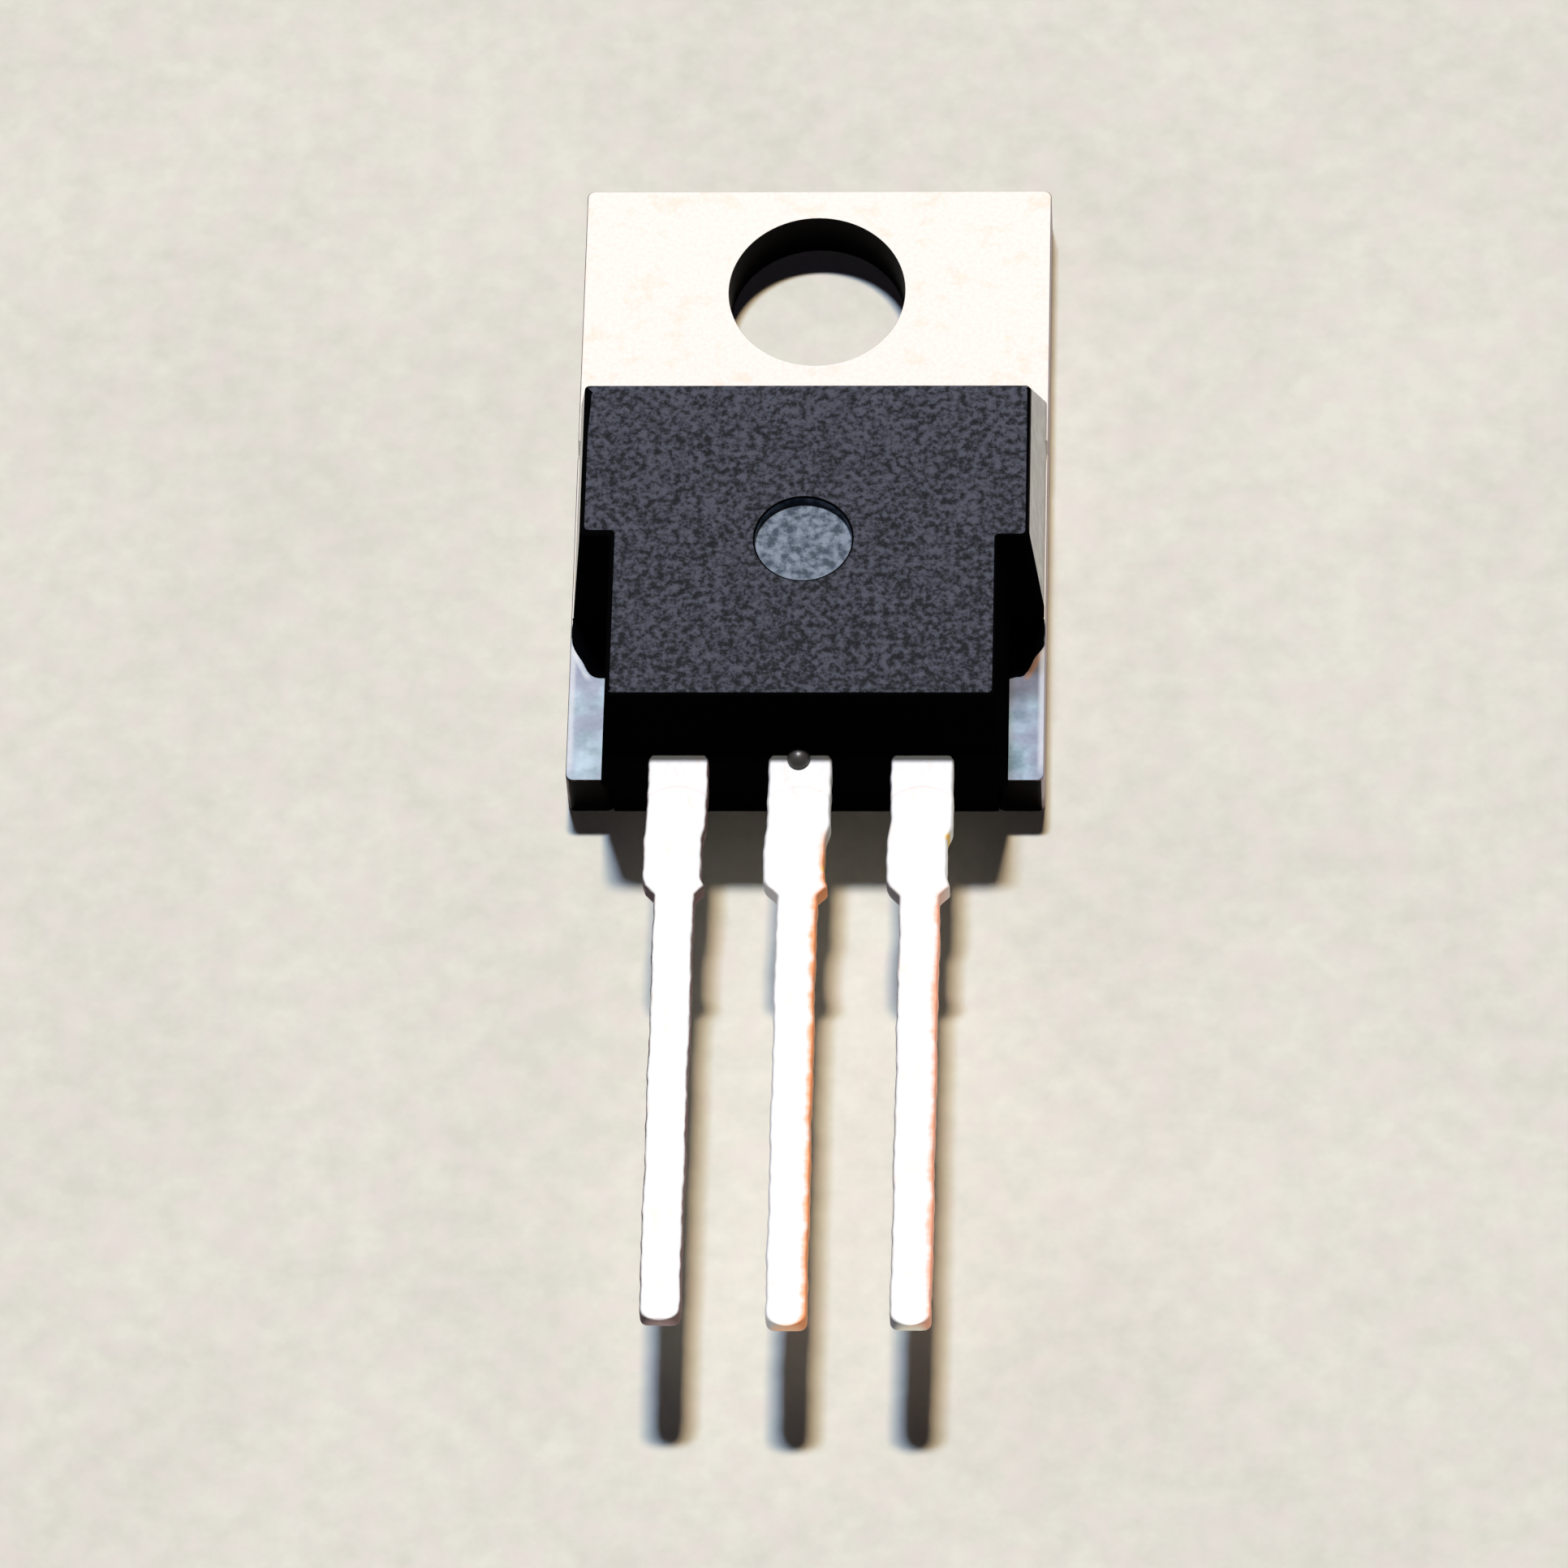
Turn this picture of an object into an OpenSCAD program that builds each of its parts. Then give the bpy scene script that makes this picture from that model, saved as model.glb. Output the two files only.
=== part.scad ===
// Through-hole power transistor in a moulded three-lead package with a metal mounting tab.
// It lies on its back. The origin is on the axis of the mounting hole, in the back face of the tab.
// X runs across the leads, Y from the lead tips to the mounting hole, Z out of the front of the body.

/* [Heat sink tab] */
// Width of the tab, and of the whole part
tab_w = 10.16; // [9.8:0.02:10.6]
// Length of bare tab between its free end and the foot of the body
bare_l = 5.48; // [5.3:0.02:6]
// Thickness of the tab
tab_t = 1.27; // [1:0.01:1.4]
// Diameter of the mounting hole
hole_d = 3.84; // [3.4:0.02:4]
// Distance from the free end of the tab to the axis of the mounting hole
hole_to_end = 2.64; // [2.5:0.02:3]
// Radius of the tab's four outer corners
tab_corner_r = 0.15; // [0.1:0.05:0.4]
// Width of the gap between the two ears
ear_gap_w = 8.2; // [7.8:0.1:8.4]
// Length of the gap between the two ears
ear_gap_l = 1.6; // [1.4:0.05:1.8]
// Width of the locking groove that crosses the tab under the body
groove_w = 0.5; // [0.3:0.05:0.8]
// Depth of the locking groove
groove_d = 0.2; // [0.1:0.02:0.35]
// Distance of the locking groove's axis from the foot of the body
groove_inset = 1.27; // [1:0.01:1.5]

/* [Moulded body] */
// Height of the body's front face over the back face of the tab
body_h = 4.45; // [4.2:0.01:4.7]
// Length of the body along the tab, from its foot to the lower end of the tab's ears
body_l = 9.6; // [9.3:0.02:9.8]
// Distance by which the body reaches past the ears at the parting plane
overhang = 0.37; // [0.3:0.01:0.5]
// Distance from the side of the tab to the foot of the body
side_step = 0.04; // [0.02:0.01:0.15]
// Draft of the two side walls, in degrees
side_draft = 5.3; // [3:0.1:7]
// Slope of the end wall towards the mounting hole, in degrees
foot_slope = 27.8; // [15:0.2:32]
// Slope of the lead end over the parting plane, in degrees
end_slope = 20; // [8:0.5:25]
// Draft of the lead end below the parting plane, in degrees
under_draft = 7; // [3:0.5:7]
// Depth of the two side notches, at the tab
notch_w = 0.76; // [0.6:0.02:0.9]
// Length of the two side notches, at the tab
notch_l = 3.99; // [3.2:0.05:4.1]
// Draft of the notches' long walls, in degrees
notch_side_draft = 4.1; // [3:0.1:7]
// Draft of the notches' end walls, in degrees
notch_end_draft = 2.5; // [1:0.1:7]
// Radius of the edges round the front face
front_edge_r = 0.1; // [0.05:0.01:0.15]
// Diameter of the round ejector pit in the front face
pit_d = 2.06; // [1.6:0.02:2.4]
// Depth of the ejector pit
pit_depth = 0.2; // [0.1:0.02:0.35]
// Diameter of the gate nub over the middle lead
nub_d = 0.47; // [0.3:0.01:0.6]

/* [Leads] */
// Distance between the axes of neighbouring leads
pitch = 2.54; // [2.5:0.01:2.6]
// Thickness of the leads
lead_t = 0.46; // [0.36:0.01:0.5]
// Height of the leads' lower face over the back face of the tab
lead_z = 2.46; // [2.3:0.01:2.7]
// Length of a lead outside the body
lead_l = 13.56; // [12:0.1:14]
// Width of the wide part of a lead
root_w = 1.27; // [1.15:0.01:1.39]
// Length of the wide part of a lead outside the body
root_l = 3.26; // [3:0.05:3.8]
// Width of the narrow part of a lead
pin_w = 0.85; // [0.77:0.01:0.9]
// Length of the sloped shoulder between the wide and the narrow part
shoulder_l = 0.22; // [0.1:0.02:0.5]
// Radius of the two corners at a lead's tip
tip_r = 0.3; // [0.1:0.01:0.36]
// Length of the cut bar between the leads that is left as a nick in each edge
nick_l = 1.25; // [0.8:0.05:1.5]
// Depth of that nick
nick_d = 0.05; // [0.03:0.01:0.08]
// Distance from the nick to the shoulder
nick_inset = 0.12; // [0.08:0.02:0.3]

/* [Inner lead frame] */
// Width of the two bond posts
post_w = 2.1; // [1.8:0.05:2.3]
// Length of the two bond posts
post_l = 1.5; // [1.2:0.05:1.6]
// Length of lead between the body's lead end and the bond posts
post_inset = 0.7; // [0.6:0.05:0.9]
// Distance from a lead's axis to its bond post's axis, away from the middle lead
post_offset = 0.35; // [0.3:0.05:0.5]
// Width of the web that joins the middle lead to the tab
web_w = 2.2; // [1.6:0.05:2.4]
// Length of the web's rise, from the level of the tab to the level of the leads
rise_l = 0.7; // [0.5:0.05:0.8]
// Length of the web's flat foot beyond the tab
web_foot_l = 0.2; // [0.1:0.05:0.3]
// Radius of the web's bends, on the inside of the bend
web_bend_r = 0.15; // [0.1:0.01:0.25]
// Depth by which the web is rooted in the tab
web_root_l = 0.3; // [0.2:0.05:0.6]
// Length of the middle lead between the body's lead end and the web
neck_l = 0.45; // [0.3:0.05:0.5]

/* [Silicon die] */
// Side of the square die
die_w = 4.6; // [3.5:0.1:5]
// Thickness of the die
die_t = 0.25; // [0.2:0.01:0.35]
// Thickness of the solder under the die
solder_t = 0.05; // [0.03:0.01:0.1]
// Width of the solder's rim round the die
solder_rim = 0.1; // [0.05:0.05:0.2]

/* [Bond wires] */
// Diameter of the two source wires
source_wire_d = 0.38; // [0.25:0.01:0.4]
// Height of a source wire's arch over the line between its ends
source_arch = 0.85; // [0.7:0.05:0.95]
// Distance from the middle of the die to the middle of the two source wires, across the part
source_pad_x = 0.9; // [0.6:0.05:1.1]
// Distance from the middle of the die to the source wires' feet, towards the mounting hole
source_pad_inset = 0.4; // [0.2:0.05:0.8]
// Distance between the two source wires on the die
source_wire_gap = 1.1; // [0.9:0.05:1.3]
// Distance between the two source wires on their bond post
source_post_gap = 0.9; // [0.8:0.05:1]
// Diameter of the gate wire
gate_wire_d = 0.13; // [0.1:0.01:0.2]
// Height of the gate wire's arch over the line between its ends
gate_arch = 0.7; // [0.6:0.05:0.9]
// Distance from the middle of the die to the gate wire, across the part
gate_pad_x = 1.5; // [1.2:0.05:1.6]
// Distance from the die's lower edge to the gate wire's foot
gate_pad_inset = 0.5; // [0.4:0.05:0.8]

/* [Hidden] */
$fn = 64;
plating = "gainsboro";
// A cutter reaches past the face that it cuts by this much
over = 1;
// Two shapes that make one solid run into each other by this much
lap = 0.2;
// Flat steps in a small round edge
edge_steps = 5;

// Places along the part, from the mounting hole's axis
free_end_y = hole_to_end;
foot_y = free_end_y - bare_l;
ear_end_y = foot_y - body_l;
gap_end_y = ear_end_y + ear_gap_l;
lead_end_y = ear_end_y - overhang;
groove_y = foot_y - groove_inset;
notch_y = ear_end_y + notch_l;
shoulder_y = lead_end_y - root_l;
tip_y = lead_end_y - lead_l;
nick_y = shoulder_y + nick_inset;
post_y = lead_end_y + post_inset;
rise_foot_y = gap_end_y - web_foot_l;
rise_top_y = rise_foot_y - rise_l;
web_end_y = lead_end_y + neck_l;

// Heights over the back face of the tab
lead_top_z = lead_z + lead_t;
web_z = tab_t - lead_t;
die_z = tab_t + solder_t;
die_top_z = die_z + die_t;
above_tab = body_h - tab_t;

// The die lies midway between the locking groove and the gap between the ears
die_y = (groove_y - groove_w / 2 + gap_end_y) / 2;

// The web keeps its thickness through both bends, so its lower face bends further out
web_angle = atan2(lead_z - web_z, rise_l);
web_bend = lead_t * tan(web_angle / 2);

// Half widths of the body, at the tab and at the front face
foot_x = tab_w / 2 - side_step;
front_x = foot_x - above_tab * tan(side_draft);
waist_foot_x = tab_w / 2 - notch_w;
waist_front_x = waist_foot_x - above_tab * tan(notch_side_draft);

// Half width of the compound that fills the locking groove and runs up into the body
groove_fill_x = foot_x - lap * tan(side_draft);

// Ends of the body's front face, and the lead end at other heights
front_top_y = foot_y - above_tab * tan(foot_slope);
front_low_y = lead_end_y + (body_h - lead_top_z) * tan(end_slope);
front_mid_y = (front_top_y + front_low_y) / 2;
function under_y(z) = lead_end_y + (lead_top_z - z) * tan(under_draft);

// Feet of the bond wires, as [x, y] on the die and on the bond posts
post_mid_y = post_y + post_l / 2;
post_x = pitch + post_offset;
source_pad_y = die_y + source_pad_inset;
gate_pad = [-gate_pad_x, die_y - die_w / 2 + gate_pad_inset];
gate_post = [-post_x, post_mid_y];
function source_pad(side) = [source_pad_x + side * source_wire_gap / 2, source_pad_y];
function source_post(side) = [post_x + side * source_post_gap / 2, post_mid_y];

// Points that round a corner p between the corners before and after it
function turn(from, p, to) =
    let (a = (from - p) / norm(from - p), b = (to - p) / norm(to - p))
    acos(a * b);
function round_corner(from, p, to, r) =
    let (
        a = (from - p) / norm(from - p),
        b = (to - p) / norm(to - p),
        half = turn(from, p, to) / 2,
        centre = p + (a + b) / norm(a + b) * r / sin(half),
        start = p + a * r / tan(half) - centre,
        side = sign(a[0] * b[1] - a[1] * b[0]),
        sweep = side * (180 - 2 * half)
    )
    [for (i = [0 : edge_steps])
        let (t = -sweep * i / edge_steps)
        centre + [start[0] * cos(t) - start[1] * sin(t), start[0] * sin(t) + start[1] * cos(t)]
    ];

// A plate of any outline drawn across the part, as seen from the side: points are [y, z]
module across(width) {
    translate([-width / 2, 0, 0])
        rotate([90, 0, 90])
            linear_extrude(width)
                children();
}

// A bar of any section drawn along the part, as seen from its lead end: points are [x, z]
module along(from_y, to_y) {
    translate([0, to_y, 0])
        rotate([90, 0, 0])
            linear_extrude(to_y - from_y)
                children();
}

// A rectangle with four round corners, from its lower left corner
module round_rectangle(size, r) {
    translate([r, 0])
        square([size[0] - 2 * r, size[1]]);
    translate([0, r])
        square([size[0], size[1] - 2 * r]);
    for (x = [r, size[0] - r], y = [r, size[1] - r])
        translate([x, y])
            circle(r);
}

// The part of a lead that shows outside the body, and its stretch inside the wall up to top_y
module lead_blade(top_y) {
    root_x = root_w / 2;
    pin_x = pin_w / 2;
    nick_x = root_x - nick_d;
    nick_top_y = nick_y + nick_l;
    tip_corner = round_corner([pin_x, shoulder_y], [pin_x, tip_y], [0, tip_y], tip_r);
    right_edge = concat([
        [root_x, top_y],
        [root_x, nick_top_y + nick_d],
        [nick_x, nick_top_y],
        [nick_x, nick_y],
        [root_x, nick_y - nick_d],
        [root_x, shoulder_y],
        [pin_x, shoulder_y - shoulder_l]
    ], tip_corner);
    left_edge = [for (i = [len(right_edge) - 1 : -1 : 0]) [-right_edge[i][0], right_edge[i][1]]];
    translate([0, 0, lead_z])
        linear_extrude(lead_t)
            polygon(concat(right_edge, left_edge));
}

// A lead with its bond post; side is -1 on the left and 1 on the right
module side_lead(side) {
    translate([side * pitch, 0, 0])
        lead_blade(post_y + lap);
    translate([side * post_x - post_w / 2, post_y, lead_z])
        cube([post_w, post_l, lead_t]);
}

module heat_sink_tab() {
    color(plating) {
        difference() {
            translate([-tab_w / 2, ear_end_y, 0])
                linear_extrude(tab_t)
                    round_rectangle([tab_w, bare_l + body_l], tab_corner_r);
            translate([0, 0, -over])
                cylinder(d = hole_d, h = tab_t + 2 * over);
            translate([-ear_gap_w / 2, ear_end_y - over, -over])
                cube([ear_gap_w, ear_gap_l + over, tab_t + 2 * over]);
            across(tab_w + 2 * over)
                polygon([
                    [groove_y - groove_w / 2, tab_t],
                    [groove_y, tab_t - groove_d],
                    [groove_y + groove_w / 2, tab_t]
                ]);
        }
        drain_web();
        lead_blade(web_end_y + lap);
    }
}

// The thin web that rises from the tab to the middle lead
module drain_web() {
    root_y = gap_end_y + web_root_l;
    outer_r = web_bend_r + lead_t;
    upper_foot = [rise_foot_y, tab_t];
    upper_top = [rise_top_y, lead_top_z];
    lower_top = [rise_top_y - web_bend, lead_z];
    lower_foot = [rise_foot_y - web_bend, web_z];
    across(web_w)
        polygon(concat(
            [[root_y, web_z], [root_y, tab_t]],
            round_corner([root_y, tab_t], upper_foot, upper_top, web_bend_r),
            round_corner(upper_foot, upper_top, [web_end_y, lead_top_z], outer_r),
            [[web_end_y, lead_top_z], [web_end_y, lead_z]],
            round_corner([web_end_y, lead_z], lower_top, lower_foot, web_bend_r),
            round_corner(lower_top, lower_foot, [root_y, web_z], outer_r)
        ));
}

module gate_lead() {
    color(plating)
        side_lead(-1);
}

module source_lead() {
    color(plating)
        side_lead(1);
}

// The body before the pieces inside it are taken out
module body_shell() {
    foot = [foot_y, tab_t];
    front_top = [front_top_y, body_h];
    front_low = [front_low_y, body_h];
    lead_end = [lead_end_y, lead_top_z];
    left = [[-foot_x, tab_t], [-front_x, body_h]];
    right = [[foot_x, tab_t], [front_x, body_h]];
    intersection() {
        across(tab_w)
            polygon(concat(
                [foot],
                round_corner(foot, front_top, front_low, front_edge_r),
                round_corner(front_top, front_low, lead_end, front_edge_r),
                [lead_end, [under_y(tab_t), tab_t]]
            ));
        along(lead_end_y - over, foot_y + over)
            polygon(concat(
                [left[0]],
                round_corner(left[0], left[1], right[1], front_edge_r),
                round_corner(left[1], right[1], right[0], front_edge_r),
                [right[0]]
            ));
    }
    across(ear_gap_w)
        polygon([
            [gap_end_y, 0],
            [gap_end_y, tab_t],
            [gap_end_y, lead_z],
            [under_y(lead_z), lead_z],
            [under_y(0), 0]
        ]);
    across(2 * groove_fill_x)
        polygon([
            [groove_y - groove_w / 2, tab_t + lap],
            [groove_y - groove_w / 2, tab_t - groove_d],
            [groove_y + groove_w / 2, tab_t - groove_d],
            [groove_y + groove_w / 2, tab_t + lap]
        ]);
    translate([0, lead_end_y, lead_top_z])
        sphere(d = nub_d);
}

// The space of one side notch, mirrored to the left by side = -1
module notch(side) {
    slope_x = (waist_foot_x - waist_front_x) / above_tab;
    slope_y = tan(notch_end_draft);
    intersection() {
        along(lead_end_y - over, notch_y + over)
            polygon([
                [side * waist_foot_x, tab_t],
                [side * (waist_front_x - over * slope_x), body_h + over],
                [side * (foot_x + over), body_h + over],
                [side * (foot_x + over), tab_t]
            ]);
        across(tab_w + 2 * over)
            polygon([
                [notch_y, tab_t],
                [notch_y + (above_tab + over) * slope_y, body_h + over],
                [lead_end_y - over, body_h + over],
                [lead_end_y - over, tab_t]
            ]);
    }
}

module moulded_body() {
    color([0.1, 0.1, 0.11])
        difference() {
            body_shell();
            notch(-1);
            notch(1);
            translate([0, front_mid_y, body_h - pit_depth])
                cylinder(d = pit_d, h = pit_depth + over);
            heat_sink_tab();
            gate_lead();
            source_lead();
            silicon_die();
            die_attach_solder();
            gate_bond_wire();
            source_bond_wire_1();
            source_bond_wire_2();
        }
}

// A square slab centred on the die, from a height upward
module die_slab(width, from_z, thickness) {
    translate([-width / 2, die_y - width / 2, from_z])
        cube([width, width, thickness]);
}

module silicon_die() {
    color("slategray")
        die_slab(die_w, die_z, die_t);
}

module die_attach_solder() {
    color("silver")
        die_slab(die_w + 2 * solder_rim, tab_t, solder_t);
}

// A wedge bonded wire: two pressed feet and one round arch between them
module bond_wire(pad, post, d, arch) {
    foot_l = 2.2 * d;
    foot_w = 1.5 * d;
    foot_h = 0.85 * d;
    end_z = 0.47 * d;
    run = norm(post - pad);
    rise = lead_top_z - die_top_z;
    chord = norm([run, rise]);
    tilt = atan2(rise, run);
    arch_r = (chord * chord / 4 + arch * arch) / (2 * arch);
    half_angle = asin(chord / 2 / arch_r);
    translate([pad[0], pad[1], die_top_z])
        rotate([0, 0, atan2(post[1] - pad[1], post[0] - pad[0])]) {
            translate([-foot_l / 2, -foot_w / 2, 0])
                cube([foot_l, foot_w, foot_h]);
            translate([run - foot_l / 2, -foot_w / 2, rise])
                cube([foot_l, foot_w, foot_h]);
            translate([0, 0, end_z])
                rotate([90, 0, 0])
                    rotate([0, 0, tilt])
                        translate([chord / 2, arch - arch_r, 0])
                            rotate([0, 0, 90 - half_angle])
                                rotate_extrude(angle = 2 * half_angle)
                                    translate([arch_r, 0])
                                        circle(d = d);
        }
}

module gate_bond_wire() {
    color("lightgray")
        bond_wire(gate_pad, gate_post, gate_wire_d, gate_arch);
}

module source_bond_wire_1() {
    color("lightgray")
        bond_wire(source_pad(-1), source_post(-1), source_wire_d, source_arch);
}

module source_bond_wire_2() {
    color("lightgray")
        bond_wire(source_pad(1), source_post(1), source_wire_d, source_arch);
}

heat_sink_tab();
gate_lead();
source_lead();
moulded_body();
silicon_die();
die_attach_solder();
gate_bond_wire();
source_bond_wire_1();
source_bond_wire_2();
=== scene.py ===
import math

import bpy
import numpy as np
from mathutils import Matrix


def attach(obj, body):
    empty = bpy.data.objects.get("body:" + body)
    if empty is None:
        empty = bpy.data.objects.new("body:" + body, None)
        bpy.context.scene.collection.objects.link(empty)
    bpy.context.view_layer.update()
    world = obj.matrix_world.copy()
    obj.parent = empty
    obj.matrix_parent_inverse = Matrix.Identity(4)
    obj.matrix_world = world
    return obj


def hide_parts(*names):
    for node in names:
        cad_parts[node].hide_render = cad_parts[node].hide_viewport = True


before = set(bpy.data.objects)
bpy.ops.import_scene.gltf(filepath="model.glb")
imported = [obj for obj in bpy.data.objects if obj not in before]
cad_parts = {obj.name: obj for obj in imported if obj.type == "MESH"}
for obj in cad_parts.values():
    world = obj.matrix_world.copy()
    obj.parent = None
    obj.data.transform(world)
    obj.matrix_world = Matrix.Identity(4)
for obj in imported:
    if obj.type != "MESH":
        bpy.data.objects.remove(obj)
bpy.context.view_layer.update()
print("frame loaded:", len(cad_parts), "solids")

mm = 0.001  # every length below is in millimetres, and a mesh is in metres
perMm = 1000.0  # texture scales below are counted per millimetre

# Camera at the photograph's angle; roll is the picture's slight turn
cameraSet = dict(azimuth=4.826, elevation=58.743, roll=-4.099, distance=242.14,
                 aimX=-0.495, aimY=-11.762, lens=260.61, sensor=36.0)


def makeCamera(s):
    # Stands on a sphere about the aim; right and up are turned about the line of sight by the roll
    a, e, r = (math.radians(s[k]) for k in ("azimuth", "elevation", "roll"))
    back = np.array([math.sin(a) * math.cos(e), -math.cos(a) * math.cos(e), math.sin(e)])
    level = np.array([math.cos(a), math.sin(a), 0.0])
    rise = np.cross(back, level)
    right = level * math.cos(r) + rise * math.sin(r)
    up = -level * math.sin(r) + rise * math.cos(r)
    spot = (np.array([s["aimX"], s["aimY"], 0.0]) + back * s["distance"]) * mm
    data = bpy.data.cameras.new("tableCamera")
    data.lens, data.sensor_width = s["lens"], s["sensor"]
    data.clip_start, data.clip_end = 0.01, 20.0
    camera = bpy.data.objects.new("tableCamera", data)
    camera.matrix_world = Matrix([[right[k], up[k], back[k], spot[k]] for k in range(3)] + [[0, 0, 0, 1]])
    bpy.context.scene.collection.objects.link(camera)
    bpy.context.scene.camera = camera


makeCamera(cameraSet)
bpy.context.scene.view_settings.view_transform = "Standard"
print("camera set")


# Small helpers for materials

def feed(tree, socket, value):
    # Links a socket to another node's output, or sets its plain value
    if isinstance(value, bpy.types.NodeSocket):
        tree.links.new(value, socket)
    else:
        socket.default_value = value


def addNode(tree, kind, inputs=None, output=0, **settings):
    # One node with its settings and inputs; gives back one of its outputs
    made = tree.nodes.new(kind)
    for name, value in settings.items():
        setattr(made, name, value)
    for name, value in (inputs or {}).items():
        feed(tree, made.inputs[name], value)
    return made.outputs[output]


def sums(tree, operation, first, second=0.0, third=0.0):
    # Arithmetic on one to three numbers
    return addNode(tree, "ShaderNodeMath", {0: first, 1: second, 2: third}, operation=operation)


def place(tree, axis):
    # Place along one axis of the part, in millimetres
    whole = addNode(tree, "ShaderNodeTexCoord", output="Object")
    return sums(tree, "MULTIPLY", addNode(tree, "ShaderNodeSeparateXYZ", {0: whole}, output=axis), perMm)


def mark(tree, name):
    # A number that the mesh carries at each of its points
    return addNode(tree, "ShaderNodeAttribute", output="Fac", attribute_name=name)


def grain(tree, perMillimetre, detail=3.0, roughness=0.55, stretch=(1, 1, 1), shift=0.0):
    # Noise from 0 to 1 with that many bumps in a millimetre, drawn out along an axis by stretch
    spot = addNode(tree, "ShaderNodeTexCoord", output="Object")
    moved = addNode(tree, "ShaderNodeMapping",
                    {"Vector": spot, "Scale": stretch, "Location": (shift * mm, shift * mm, 0)})
    return addNode(tree, "ShaderNodeTexNoise", {"Vector": moved, "Scale": perMillimetre * perMm,
                                                "Detail": detail, "Roughness": roughness})


def ramp(tree, value, *stops):
    # Colour or grey that changes with a value: each stop is a place and a colour or a grey
    made = addNode(tree, "ShaderNodeValToRGB", {"Fac": value}).node
    while len(made.color_ramp.elements) < len(stops):
        made.color_ramp.elements.new(0.5)
    for element, (at, colour) in zip(made.color_ramp.elements, stops):
        element.position = at
        element.color = (colour, colour, colour, 1) if isinstance(colour, float) else (*colour, 1)
    return made.outputs[0]


def mixed(tree, share, first, second):
    # Colour between two colours
    made = tree.nodes.new("ShaderNodeMix")
    made.data_type = "RGBA"
    feed(tree, made.inputs["Factor"], share)
    feed(tree, made.inputs["A"], first if isinstance(first, bpy.types.NodeSocket) else (*first, 1))
    feed(tree, made.inputs["B"], second if isinstance(second, bpy.types.NodeSocket) else (*second, 1))
    return made.outputs["Result"]


def spread(tree, value, low, high, toLow=0.0, toHigh=1.0):
    # Straight change from one range of values to another, held at its ends
    return addNode(tree, "ShaderNodeMapRange", {"Value": value, "From Min": low, "From Max": high,
                                                "To Min": toLow, "To Max": toHigh})


def between(tree, value, low, high, soft=0.05):
    # 1 between two values, 0 outside them, with soft edges
    return sums(tree, "MULTIPLY", spread(tree, value, low - soft, low + soft),
                spread(tree, value, high - soft, high + soft, 1.0, 0.0))


def raised(tree, height, depth):
    # Bump that is depth millimetres tall where the height is 1
    return addNode(tree, "ShaderNodeBump", {"Height": height, "Distance": depth * mm, "Strength": 1.0})


def finish(name, build, **constants):
    # A material whose shader takes its constants straight on its sockets and its patterns from build
    made = bpy.data.materials.new(name)
    made.use_nodes = True
    tree = made.node_tree
    shader = tree.nodes["Principled BSDF"]
    for socket, value in constants.items():
        shader.inputs[socket.replace("_", " ")].default_value = value
    for socket, value in build(tree).items():
        feed(tree, shader.inputs[socket], value)
    return made


# Small helpers for surfaces

def smoothStep(x):
    # 0 below 0, 1 above 1, and 3x^2 - 2x^3 between
    x = np.clip(x, 0, 1)
    return x * x * (3 - 2 * x)


def roundedOutline(corners, radius, arcPoints, edgePoints):
    # Closed outlines through corners, one for each ring. Each corner P with round radius r is the curve from
    # P - r a to P + r b, with a and b the directions of the edges before and after it, a quarter circle where
    # they are square. The edge that follows is divided evenly
    before = corners - np.roll(corners, 1, axis=1)
    after = np.roll(corners, -1, axis=1) - corners
    a = (before / np.linalg.norm(before, axis=2, keepdims=True))[:, :, None]
    b = (after / np.linalg.norm(after, axis=2, keepdims=True))[:, :, None]
    p, r = corners[:, :, None], np.broadcast_to(radius, corners.shape[:2])[:, :, None, None]
    turn = np.linspace(0, math.pi / 2, arcPoints)[None, None, :, None]
    arc = p + r * (-a * (1 - np.sin(turn)) + b * (1 - np.cos(turn)))
    share = np.linspace(0, 1, edgePoints + 2)[1:-1][None, None, :, None]
    start, end = p + r * b, np.roll(p - r * a, -1, axis=1)
    edge = start + (end - start) * share
    return np.concatenate([arc, edge], axis=2).reshape(len(corners), -1, 2)


def withHeight(rings, z):
    # Puts each flat ring at its height
    return np.concatenate([rings, np.broadcast_to(np.reshape(z, (-1, 1, 1)), rings.shape[:2] + (1,))], axis=2)


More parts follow.
